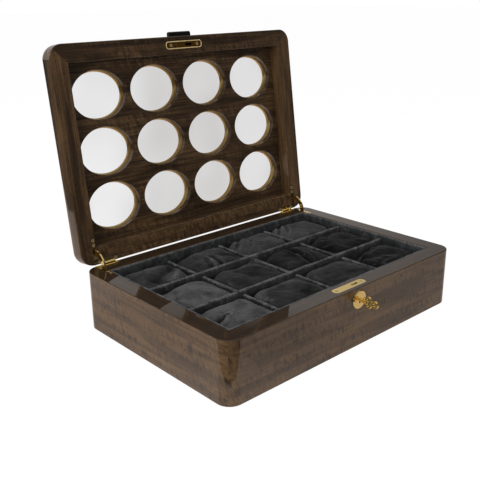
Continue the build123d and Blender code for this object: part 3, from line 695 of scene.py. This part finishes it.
lid_up = Vector((0, -math.cos(LID_TURN), math.sin(LID_TURN)))
lid_out = Vector((1, 0, 0)).cross(lid_up)
low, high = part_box("strike_plate")
corners = [point.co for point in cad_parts["strike_plate"].data.vertices]
plate_face = max(corner.dot(lid_out) for corner in corners)
plate_top = max(corner.dot(lid_up) for corner in corners)
plate_foot = min(corner.dot(lid_up) for corner in corners)
plate_long, plate_wide = high.x - low.x, plate_top - plate_foot
centre = Vector(((low.x + high.x) / 2, 0, 0)) + lid_up * (plate_top + plate_foot) / 2
centre += lid_out * (plate_face + PLATE_LIFT)
on_plate = Matrix(((1, 0, 0), lid_up, lid_out)).transposed().to_4x4()
print("strike plate", round(plate_long * 1000, 1), "x", round(plate_wide * 1000, 1), "mm")

# %% [markdown]
# The rim is thin and catches the light all round.  A curve with a bevel would make a round
# wire, and this is a low ridge.  So it starts as one flat face, gets the plate's round
# corners, and an inset splits off a band round its edge.  The field is deleted, and a second
# inset raises the band's middle.  Only then is it stood up on the plate.

# %% Strike plate rim
OVERLAP = 0.0002
PLATE_CORNER = 0.0038
BAND_WIDTH, RIDGE_SIDE, RIDGE_HEIGHT = 0.0009, 0.0003, 0.0003

shape = bmesh.new()
bmesh.ops.create_grid(shape, x_segments=1, y_segments=1, size=0.5)
bmesh.ops.scale(shape, vec=(plate_long + OVERLAP, plate_wide + OVERLAP, 1), verts=shape.verts)
bmesh.ops.bevel(shape, geom=shape.verts[:], offset=PLATE_CORNER, segments=6, profile=0.5,
                affect="VERTICES", material=-1)
band = bmesh.ops.inset_individual(shape, faces=shape.faces[:], thickness=BAND_WIDTH,
                                  use_even_offset=True)
field = [face for face in shape.faces if face not in band["faces"]]
bmesh.ops.delete(shape, geom=field, context="FACES_ONLY")
sides = bmesh.ops.inset_region(shape, faces=shape.faces[:], thickness=RIDGE_SIDE,
                               use_boundary=True)
crown = {point for face in shape.faces if face not in sides["faces"] for point in face.verts}
bmesh.ops.translate(shape, vec=(0, 0, RIDGE_HEIGHT), verts=list(crown))
bmesh.ops.recalc_face_normals(shape, faces=shape.faces[:])
if sum(face.normal.z for face in shape.faces) < 0:
    bmesh.ops.reverse_faces(shape, faces=shape.faces[:])
bmesh.ops.transform(shape, matrix=Matrix.Translation(centre) @ on_plate, verts=shape.verts)
strike_rim = new_piece("strike_plate_rim", shape)
strike_rim.data.materials.append(bead_brass)
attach(strike_rim, "lid")
print("rim faces", len(strike_rim.data.polygons))

# %% [markdown]
# Cushions
#
# Each cell holds a pillow that a watch is strapped round or laid on: a sleeve of suede,
# stuffed until its top crowns and its corners go round.  A scaled ball would have no corners
# and a block no swell.  So a blank is cut a little smaller than the cell, with its edges
# bevelled, and remeshed into even squares, which cloth needs.

# %% Cushion blanks
BLANK_GAP = Vector((0.0014, 0.0014, 0.0014))
UPRIGHT = 0.01
TOP_BAND = 0.003
CORNER, SHOULDER = 0.008, 0.0050
SQUARE = 0.004


def settle(piece):
    """Make what the modifiers show the piece's own mesh, and take the modifiers off."""
    graph = bpy.context.evaluated_depsgraph_get()
    mesh = bpy.data.meshes.new_from_object(piece.evaluated_get(graph), depsgraph=graph)
    piece.modifiers.clear()
    worn = piece.data
    piece.data = mesh
    bpy.data.meshes.remove(worn)


def cushion_blank(name):
    low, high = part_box(name)
    shape = block(low + BLANK_GAP, high - BLANK_GAP)
    uprights = [edge for edge in shape.edges
                if abs(edge.verts[0].co.z - edge.verts[1].co.z) > UPRIGHT]
    bmesh.ops.bevel(shape, geom=uprights, offset=CORNER, segments=3, profile=0.5,
                    affect="EDGES", material=-1)
    top = [edge for edge in shape.edges
           if min(point.co.z for point in edge.verts) > high.z - TOP_BAND]
    bmesh.ops.bevel(shape, geom=top, offset=SHOULDER, segments=3, profile=0.5,
                    affect="EDGES", material=-1)
    piece = new_piece("suede_" + name, shape)
    even = piece.modifiers.new("even", "REMESH")
    even.mode = "VOXEL"
    even.voxel_size = SQUARE
    settle(piece)
    return piece


cells = [(row, column) for row in (1, 2, 3) for column in (1, 2, 3, 4)]
solid_in = {cell: "cushion_r%d_c%d" % cell for cell in cells}
cushions = {cell: cushion_blank(solid_in[cell]) for cell in cells}
print("cushion blanks", len(cushions), "points each", len(cushions[1, 1].data.vertices))

# %% [markdown]
# Stuffing is pressure.  Each blank becomes cloth with air pressed into it, and twenty frames
# are enough for it to swell.  How far a point may travel is capped, because cloth that is
# stopped in the middle of a movement can leave a spike.

# %% Stuff the cushions
PRESSURE = 4.0
LAST_FRAME = 20
FARTHEST_SWELL = 0.010

started = {cell: [point.co.copy() for point in piece.data.vertices]
           for cell, piece in cushions.items()}
for piece in cushions.values():
    cloth = piece.modifiers.new("stuffing", "CLOTH")
    cloth.settings.use_pressure = True
    cloth.settings.uniform_pressure_force = PRESSURE
    cloth.settings.effector_weights.gravity = 0.0
for moment in range(1, LAST_FRAME + 1):
    bpy.context.scene.frame_set(moment)
swollen = 0.0
for cell, piece in cushions.items():
    settle(piece)
    for point, start in zip(piece.data.vertices, started[cell]):
        moved = point.co - start
        if moved.length > FARTHEST_SWELL:
            point.co = start + moved * (FARTHEST_SWELL / moved.length)
        swollen = max(swollen, (point.co - start).length)
bpy.context.scene.frame_set(1)
print("swollen by up to", round(swollen * 1000, 1), "mm")

# %% [markdown]
# A stuffed pillow is held by its cell: it meets the walls and bulges above them.  Clipping
# every point at the wall would leave sharp edges, so points bend off as they come near it,
# which tanh does without a corner.  The top gets a little more crown, and a subdivision
# smooths what the remesh left square.

# %% Fit them to their cells
SIDE_GAP, SIDE_BEND = 0.0001, 0.0015
CROWN = 0.0030
TOP_PROUD, TOP_BEND = 0.0022, 0.003


def soft_limit(value, limit, bend):
    """Follow value, but bend off so as never to pass limit."""
    size, free = abs(value), limit - bend
    if size > free:
        size = free + bend * math.tanh((size - free) / bend)
    return math.copysign(size, value)


def subdivide(piece):
    finer = piece.modifiers.new("finer", "SUBSURF")
    finer.levels = finer.render_levels = 1
    settle(piece)


for cell, piece in cushions.items():
    low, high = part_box(solid_in[cell])
    middle, half = (low + high) / 2, (high - low) / 2
    for point in piece.data.vertices:
        away = point.co - middle
        away.x = soft_limit(away.x, half.x - SIDE_GAP, SIDE_BEND)
        away.y = soft_limit(away.y, half.y - SIDE_GAP, SIDE_BEND)
        crown = (1 - (away.x / half.x) ** 2) * (1 - (away.y / half.y) ** 2)
        away.z += CROWN * max(0.0, crown) * max(0.0, away.z / half.z)
        away.z = max(-half.z, soft_limit(away.z, half.z + TOP_PROUD, TOP_BEND))
        point.co = middle + away
    subdivide(piece)
print("the first cushion's top is at", round(max(
    point.co.z for point in cushions[1, 1].data.vertices) * 1000, 1), "mm")

# %% [markdown]
# Folds, brushed nap and painted shade
#
# No two of the pillows lie alike.  Sculpting them by hand couldn't be repeated, so each has
# a short list instead: valleys where the sleeve is slack, ridges where it is pinched, tucks
# where a corner is drawn down, and strokes of brushed nap, with painted shade along valleys
# and painted highlight along ridges.  Places are given in a cell's own measure, from -1 to 1
# from left to right and from front to back.

# %% A cushion's upper side
# Distances from a line are counted in its widths.  A press reaches 4 of them, and 2.1 out the
# cloth heaps up by 0.28 of the depth.  It fades out towards the pillow's middle height.
REACH, HEAP_AT, HEAP = 4.0, 2.1, 0.28
FADE_RISE, FADE_START = 1.6, 0.1
DOT = 0.01


class Pillow:
    """A cushion's upper points, with ways to press them and to lay strokes of nap and painted
    shade.
    """

    def __init__(self, cell, piece):
        low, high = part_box(solid_in[cell])
        self.middle, self.half = (low + high) / 2, (high - low) / 2
        self.points = [point for point in piece.data.vertices if point.co.z > self.middle.z]
        self.nap = piece.data.attributes.new("nap", "FLOAT", "POINT").data

    def spot(self, u, v):
        return Vector((self.middle.x + u * self.half.x, self.middle.y + v * self.half.y))

    def near(self, start, end, width):
        """Each point near a line, with its distance in widths and how high up it is, 0 to 1."""
        first, run = self.spot(*start), self.spot(*end) - self.spot(*start)
        for point in self.points:
            here = Vector((point.co.x, point.co.y)) - first
            along = min(1.0, max(0.0, here.dot(run) / run.length_squared))
            apart = (here - run * along).length / width
            if apart < REACH:
                height = (point.co.z - self.middle.z) / self.half.z * FADE_RISE - FADE_START
                yield point, apart, min(1.0, max(0.0, height))

    def fold(self, start, end, depth, width):
        """A valley, with the cloth heaped beside it; a depth below zero is a ridge."""
        for point, apart, fade in self.near(start, end, width):
            heap = math.exp(-(apart - HEAP_AT) ** 2) * HEAP
            point.co.z -= depth * fade * (math.exp(-apart * apart) - heap)

    def tuck(self, corner, depth, width):
        """Cloth drawn down at a corner or an edge of the cell."""
        for point, apart, fade in self.near(corner, (corner[0], corner[1] + DOT), width):
            point.co.z -= depth * fade * math.exp(-apart * apart)

    def brush(self, start, end, width, shade):
        """Painted shade or highlight along a line, and brushed nap, in a per-point attribute."""
        for point, apart, _ in self.near(start, end, width):
            self.nap[point.index].value += shade * math.exp(-apart * apart)


print("cushions that can be pressed", len(cushions))

# %% [markdown]
# The valleys and the ridges come first.  Each is a line across the pillow, then how deep or
# high it is, and how wide, in metres.  Cells are counted from the front row and the left.

# %% Valleys and ridges
folds = {
    (1, 1): [((-1.0, -0.19), (-0.60, -0.07), 0.0060, 0.0032),
             ((-1.0, -0.19), (-0.25, 0.03), 0.0030, 0.0015)],
    (1, 2): [((-0.05, 0.2), (0.12, -0.5), 0.0014, 0.0090)],
    (1, 3): [((-0.9, -0.7), (-0.5, -0.9), 0.0040, 0.0050),
             ((0.1, -0.3), (0.5, -0.5), 0.0010, 0.0060)],
    (1, 4): [((-0.6, 0.1), (0.1, -0.2), 0.0016, 0.0070),
             ((-0.9, -0.5), (-0.3, -0.35), 0.0014, 0.0035)],
    (2, 1): [((-0.8, -0.4), (-0.45, 0.3), 0.0016, 0.0040)],
    (2, 2): [((-0.2, 0.2), (0.0, -0.3), 0.0016, 0.0090),
             ((0.3, -0.1), (0.5, -0.5), 0.0008, 0.0060)],
    (2, 3): [((0.15, 0.7), (0.10, -0.1), 0.0045, 0.0032),
             ((0.0, -0.3), (-0.05, -0.8), 0.0030, 0.0030)],
    (2, 4): [((-0.2, -0.5), (0.1, -0.1), 0.0010, 0.0080),
             ((-0.7, 0.1), (-0.2, 0.6), 0.0014, 0.0040)],
    (3, 1): [((-0.25, -0.55), (0.45, 0.0), 0.0042, 0.0080),
             ((0.85, -0.9), (0.9, 0.3), 0.0030, 0.0030)],
    (3, 2): [((0.02, -0.1), (-0.08, -0.8), 0.0022, 0.0030),
             ((-0.38, -0.4), (-0.5, -0.85), 0.0018, 0.0045),
             ((0.5, -0.2), (0.75, -0.7), 0.0014, 0.0080)],
    (3, 3): [((-0.85, 0.2), (-0.3, 0.8), 0.0022, 0.0030),
             ((-0.5, -0.2), (-0.1, 0.3), 0.0010, 0.0024)],
    (3, 4): [((-0.9, 0.3), (-0.4, 0.9), 0.0020, 0.0022),
             ((-0.7, 0.0), (-0.25, 0.7), 0.0012, 0.0020)],
}
ridges = {
    (1, 2): [((0.78, 0.85), (0.90, 0.4), 0.0010, 0.0030)],
    (1, 4): [((-0.85, 0.42), (0.35, 0.85), 0.0016, 0.0020)],
    (2, 2): [((0.75, 0.85), (0.9, 0.1), 0.0016, 0.0030)],
    (2, 3): [((0.3, -0.2), (0.12, -0.8), 0.0018, 0.0022)],
    (3, 1): [((0.3, -0.85), (0.8, -0.2), 0.0012, 0.0050)],
    (3, 2): [((-0.12, -0.1), (-0.24, -0.8), 0.0008, 0.0025)],
}
print("valleys", sum(map(len, folds.values())), "ridges", sum(map(len, ridges.values())))

# %% [markdown]
# A tuck is a place, how deep the cloth is drawn down there, and how wide.  It rounds a corner
# of the pillow and lets the dark of the cell show beside it.

# %% Tucks
tucks = {
    (1, 1): [((-1.0, 1.0), 0.010, 0.010), ((1.0, -1.0), 0.006, 0.007)],
    (1, 2): [((-1.0, 1.0), 0.007, 0.008), ((0.1, -1.1), 0.003, 0.014)],
    (1, 3): [((-1.0, 1.0), 0.006, 0.008), ((-1.0, -1.0), 0.005, 0.010)],
    (1, 4): [((-1.0, 1.0), 0.016, 0.018), ((-0.2, 1.1), 0.010, 0.012)],
    (2, 1): [((-0.5, 1.0), 0.004, 0.012), ((1.0, 1.0), 0.005, 0.007)],
    (2, 2): [((-1.0, 1.0), 0.008, 0.010), ((0.1, 1.0), 0.003, 0.014)],
    (2, 3): [((-1.0, 1.0), 0.012, 0.012), ((1.0, 1.0), 0.006, 0.008)],
    (2, 4): [((-1.0, 1.0), 0.013, 0.012)],
    (3, 1): [((-1.0, 1.0), 0.008, 0.010), ((1.0, 1.0), 0.006, 0.010), ((1.0, -1.0), 0.008, 0.008)],
    (3, 2): [((-0.7, 1.0), 0.007, 0.012)],
    (3, 3): [((-0.9, 1.0), 0.010, 0.012), ((0.95, -0.75), 0.008, 0.006)],
    (3, 4): [((-1.0, 1.0), 0.006, 0.010), ((0.95, -0.8), 0.007, 0.006)],
}
print("tucks", sum(map(len, tucks.values())))

# %% [markdown]
# A stroke is a line, its width in metres, and a shade: above zero it is lighter, below zero
# darker.  Along valleys and tucks the strokes are painted shade, along ridges painted highlight,
# and elsewhere brushed nap.  A stroke moves no cloth, only the attribute that the suede reads.

# %% Strokes of nap and painted shade
nap_and_shade_strokes = {
    (1, 1): [((-1.0, -0.19), (-0.65, -0.08), 0.0030, -0.9),
             ((-0.9, -0.16), (-0.27, 0.03), 0.0015, -0.9)],
    (1, 2): [((-0.8, 0.6), (-0.8, -0.2), 0.007, 0.35), ((-0.2, 0.1), (0.1, -0.4), 0.010, -0.30),
             ((0.0, -0.35), (0.1, -0.7), 0.009, -0.35), ((0.2, 0.6), (0.6, 0.5), 0.005, 0.15),
             ((0.80, 0.9), (0.9, 0.5), 0.003, 0.35)],
    (1, 3): [((0.15, 0.3), (0.3, 0.1), 0.008, 0.40), ((-0.8, -0.4), (-0.3, -0.6), 0.008, -0.30),
             ((-0.5, 0.2), (-0.1, -0.2), 0.010, -0.2)],
    (1, 4): [((-0.1, 0.5), (0.4, 0.25), 0.010, -0.45), ((-0.95, 0.43), (-0.2, 0.8), 0.0012, 0.90),
             ((-0.2, 0.8), (0.3, 0.9), 0.0012, 0.60), ((-0.7, -0.05), (-0.2, 0.3), 0.004, 0.15),
             ((-0.8, 0.85), (-0.1, 1.0), 0.006, -0.9)],
    (2, 1): [((-0.2, 0.2), (0.6, 0.2), 0.010, 0.10)],
    (2, 2): [((-0.25, 0.2), (0.05, -0.35), 0.009, -0.30), ((0.5, 0.45), (0.85, 0.65), 0.005, 0.30),
             ((-0.60, -0.4), (-0.55, 0.2), 0.006, 0.15), ((0.6, 0.0), (0.62, -0.2), 0.005, 0.15)],
    (2, 3): [((0.13, 0.66), (0.10, 0.0), 0.0035, -0.6), ((0.25, -0.3), (0.0, -0.7), 0.0018, 0.6),
             ((-0.35, -0.2), (-0.3, -0.5), 0.007, -0.3), ((-0.7, 0.2), (-0.5, 0.4), 0.005, 0.2),
             ((0.6, 0.5), (0.8, 0.2), 0.005, 0.15)],
    (2, 4): [((-0.2, -0.5), (0.05, -0.1), 0.010, -0.18), ((-0.5, 0.3), (0.0, 0.45), 0.007, 0.12),
             ((0.4, -0.5), (0.8, 0.0), 0.009, -0.2)],
    (3, 1): [((-0.43, -0.5), (0.3, -0.05), 0.008, -0.60), ((0.3, 0.0), (0.7, 0.25), 0.006, -0.40),
             ((-0.4, 0.55), (0.3, 0.6), 0.006, 0.20), ((0.2, -0.75), (0.8, -0.2), 0.0035, 0.45),
             ((0.84, -0.74), (0.9, -0.6), 0.004, -0.5)],
    (3, 2): [((0.03, -0.2), (-0.05, -0.7), 0.003, -0.55),
             ((-0.42, -0.5), (-0.5, -0.8), 0.004, -0.45),
             ((0.6, -0.2), (0.8, -0.5), 0.007, -0.45), ((-0.1, 0.05), (-0.3, -0.75), 0.0014, 0.6),
             ((-0.6, 0.2), (-0.2, 0.4), 0.007, 0.2)],
    (3, 3): [((-0.7, 0.35), (-0.4, 0.65), 0.003, -0.4), ((0.86, -0.7), (0.9, -0.6), 0.004, -0.6),
             ((0.5, -0.6), (0.75, -0.3), 0.003, 0.3)],
    (3, 4): [((-0.85, 0.42), (-0.5, 0.8), 0.0022, -0.4), ((0.9, -0.7), (0.95, -0.6), 0.003, -0.5),
             ((0.62, -0.7), (0.95, -0.35), 0.002, 0.3)],
}
print("strokes", sum(map(len, nap_and_shade_strokes.values())))

# %% [markdown]
# Last come the small dents that stuffing leaves everywhere, as a slow noise that may press
# the cloth down freely but lift it only a little, so that no pillow grows out of its cell.

# %% Finish the cushions
LOOSE, LOOSE_SIZE = 0.0016, 38.0
CREASE, CREASE_SIZE = 0.0005, 130.0
MOST_LIFT = 0.0012

# Which lit or shaded copy of the suede each cushion gets: painted light and sheen.
suede_of = {(1, 1): pale_suede, (2, 1): pale_suede, (3, 3): far_suede, (3, 4): far_suede,
            (3, 1): middle_suede, (3, 2): middle_suede, (1, 4): darkest_suede,
            (2, 4): darkest_suede, (2, 3): dusk_suede}
for cell, piece in cushions.items():
    seed = 3.7 * cell[0] + 1.9 * cell[1]
    subdivide(piece)
    pillow = Pillow(cell, piece)
    for start, end, depth, width in folds[cell]:
        pillow.fold(start, end, depth, width)
    for start, end, height, width in ridges.get(cell, []):
        pillow.fold(start, end, -height, width)
    for corner, depth, width in tucks[cell]:
        pillow.tuck(corner, depth, width)
    # Strokes: painted shade in folds, painted highlight on ridges, and brushed nap.
    for start, end, width, shade in nap_and_shade_strokes[cell]:
        pillow.brush(start, end, width, shade)
    for point in pillow.points:
        dent = slow_noise(point.co, LOOSE_SIZE, seed) * LOOSE
        dent += slow_noise(point.co, CREASE_SIZE, seed) * CREASE
        point.co.z += min(dent, MOST_LIFT)
    for face in piece.data.polygons:
        face.use_smooth = True
    piece.data.materials.clear()
    piece.data.materials.append(suede_of.get(cell, deep_suede))
    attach(piece, solid_in[cell])
    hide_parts(solid_in[cell])
print("cushions", len(cushions), "triangles each", 2 * len(cushions[1, 1].data.polygons))

# %% [markdown]
# The table
#
# The box stands on a white table.  To the camera it should be plain white, but with a trace
# of the box's shadow, so for camera rays it is nearly all glow and a little real paper.
# More light would make it white too, and burn out the box.

# %% Table
TABLE = 12.0
TABLE_DROP = 0.0002
PAPER = (0.86, 0.86, 0.88, 1)
GLOW, GLOW_SHARE = 1.034, 0.94

shape = bmesh.new()
bmesh.ops.create_grid(shape, x_segments=1, y_segments=1, size=TABLE)
table = new_piece("table", shape)
table.location = (0, 0, -TABLE_DROP)

paper = Finish("white_paper")
table.data.materials.append(paper.material)
paper.set(Base_Color=PAPER, Roughness=0.9, Specular_IOR_Level=0.0)
glow = paper.node("ShaderNodeEmission", {}, {"Color": WHITE, "Strength": GLOW})
seen_table = paper.mix_shaders(paper.ray("Camera") * GLOW_SHARE, paper.shader, glow)
print("table", 2 * TABLE, "m wide")

# %% [markdown]
# What the lacquer mirrors
#
# On the box's sides the lacquer mirrors the table, which lays a pale veil over the wood.  A
# studio table ends somewhere, and that is where the round front corner, which mirrors the
# table towards the viewer, turns dark, with a clean edge that narrows to a point.  So glossy
# rays see a table of their own: bright up to an edge just past the corner, and dark beyond.
# That edge is a round nose at the corner with two straight flanks, and the table ends on both
# sides too.  Distances are measured from the corner, ahead to the viewer and aside.

# %% The mirrored table
CORNER_DEPTH = 0.1265
VIEWER_WAY = math.atan2(-0.744, -0.668)
NOSE, NOSE_BEND = 0.036, 1.25
FLANK, FLANK_SLOPE = 0.02, 0.3
EDGE_BLUR = 0.004
SIDE_END = (0.605, 0.635)
NEAR_CORNER, LEFT_PART, BACK_PART = (0.02, 0.16), (-0.03, 0.03), (0.27, 0.33)
LEAST, EVEN, BY_CORNER, ON_LEFT, AT_BACK = 0.02, 0.50, 0.28, 0.04, 0.10
WARM_PAPER = (1, 0.85, 0.76, 1)

from_corner = paper.place(shift=(-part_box("case_left")[0].x, CORNER_DEPTH, 0))
rightward, backward = paper.axis(from_corner, "X"), paper.axis(from_corner, "Y")
to_viewer = paper.mapped(from_corner, turn=(0, 0, -VIEWER_WAY))
ahead, aside = paper.axis(to_viewer, "X"), abs(paper.axis(to_viewer, "Y"))
edge = (NOSE - (aside * aside) * NOSE_BEND).larger(FLANK - aside * FLANK_SLOPE)
lit = (edge - ahead).between(-EDGE_BLUR, EDGE_BLUR) * (1 - aside.between(*SIDE_END))
glare = (1 - aside.between(*NEAR_CORNER)) * BY_CORNER
glare = glare + (backward - rightward).between(*LEFT_PART) * ON_LEFT
glare = glare + EVEN + backward.between(*BACK_PART) * AT_BACK
mirrored_table = paper.node("ShaderNodeEmission", {}, {
    "Color": paper.mix(lit * glare + LEAST, BLACK, WARM_PAPER), "Strength": 1.0})
paper.show(paper.mix_shaders(paper.ray("Glossy"), seen_table, mirrored_table))
print("the bright table ends", NOSE, "m ahead of the corner")

# %% [markdown]
# The room
#
# It is bright behind the box and overhead, and dark towards the viewer, which gives brass its
# dark and light sides.  Three kinds of ray want three rooms: the camera, also through glass,
# sees white, gloss sees the bright and dark room, and what lights the box is an even fill.

# %% Room
BEHIND, BEHIND_LEAN = (-0.35, 0.45), 0.6
WALL_TOP, CEILING = (0.42, 0.45), (0.52, 0.64)
CEILING_LIGHT = 0.7
ROOM_LIGHT, ROOM_DARK = 0.68, 0.04
WARM_ROOM = (1, 0.93, 0.88, 1)
FILL = 0.30

world = bpy.data.worlds.new("room")
bpy.context.scene.world = world
world.use_nodes = True
room = Nodes(world.node_tree, "ShaderNodeOutputWorld")
way = room.node("ShaderNodeTexCoord", output="Generated")
way_x, way_y, way_z = (room.axis(way, name) for name in "XYZ")
behind = (way_y - way_x * BEHIND_LEAN).between(*BEHIND)
low_wall = behind * (1 - way_z.between(*WALL_TOP))
bright = low_wall.larger(way_z.between(*CEILING) * CEILING_LIGHT)
shade = room.mix(bright * ROOM_LIGHT + ROOM_DARK, BLACK, WARM_ROOM)
mirrored_room = room.node("ShaderNodeBackground", {}, {"Color": shade, "Strength": 1.0})
fill = room.node("ShaderNodeBackground", {}, {"Color": WHITE, "Strength": FILL})
white = room.node("ShaderNodeBackground", {}, {"Color": WHITE, "Strength": 1.0})
direct = (room.ray("Camera") + room.ray("Transmission")).clamp()
unseen = room.mix_shaders(room.ray("Glossy"), fill, mirrored_room)
room.show(room.mix_shaders(direct, unseen, white))
print("room nodes", len(room.tree.nodes))

# %% [markdown]
# Lamps
#
# Three large soft boxes light the box: one overhead, one at the left, and a weak one in
# front.  Small lamps would draw hard shadows.  They are hidden from gloss, because the
# lacquer would show each as a white square.

# %% Soft boxes
def softbox(name, place, aim, size, watts):
    lamp = bpy.data.lights.new(name, "AREA")
    lamp.shape = "RECTANGLE"
    lamp.size, lamp.size_y = size
    lamp.energy = watts
    holder = bpy.data.objects.new(name, lamp)
    bpy.context.collection.objects.link(holder)
    holder.location = place
    holder.rotation_euler = (Vector(aim) - Vector(place)).to_track_quat("-Z", "Y").to_euler()
    holder.visible_glossy = False


softbox("top_light", (-0.35, 0.1, 1.9), (0, 0, 0.05), (1.8, 1.8), 14.0)
softbox("left_light", (-1.7, -0.5, 0.8), (0, 0, 0.1), (1.4, 1.2), 20.0)
softbox("front_light", (0.5, -2.0, 0.9), (0, 0, 0.1), (1.4, 1.0), 5.0)
print("lamps", len(bpy.data.lights))

# %% [markdown]
# The end
#
# Dressing the solids must not make them larger.
